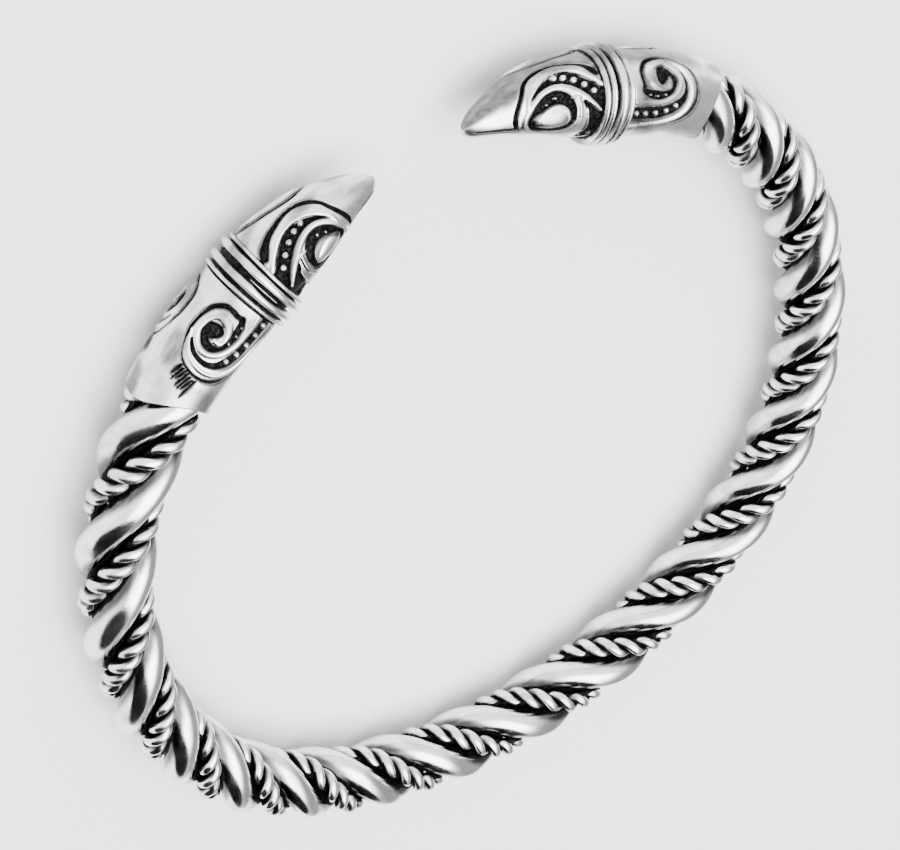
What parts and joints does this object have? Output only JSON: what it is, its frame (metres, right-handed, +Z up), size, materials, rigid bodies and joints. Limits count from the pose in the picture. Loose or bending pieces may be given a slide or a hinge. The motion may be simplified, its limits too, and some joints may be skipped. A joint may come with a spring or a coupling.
{
  "type": "viking arm ring",
  "caption": "Open arm ring: a rope of smooth strands and fine twisted wires, ending in cast raven heads with raised scrolls.",
  "frame": {"origin": "under the middle of the ring, on the surface that the ring lies on", "axes": "+X across the wrist towards the right-hand head, +Y from the back to the mouth between the beaks, +Z up along the wrist"},
  "size_m": [0.0695, 0.069, 0.0074],
  "materials": {
    "smooth_strand": "polished bright metal with black in the grooves",
    "twisted_wire": "bright metal on the ridges, blackened between the turns",
    "cast_head": "polished cast metal with blackened recesses round the raised relief"
  },
  "bodies": {
    "root": {"strand_a": "smooth_strand", "strand_b": "smooth_strand", "wire_a": "twisted_wire", "wire_b": "twisted_wire", "raven_left": "cast_head", "raven_right": "cast_head"}
  },
  "joints": []
}
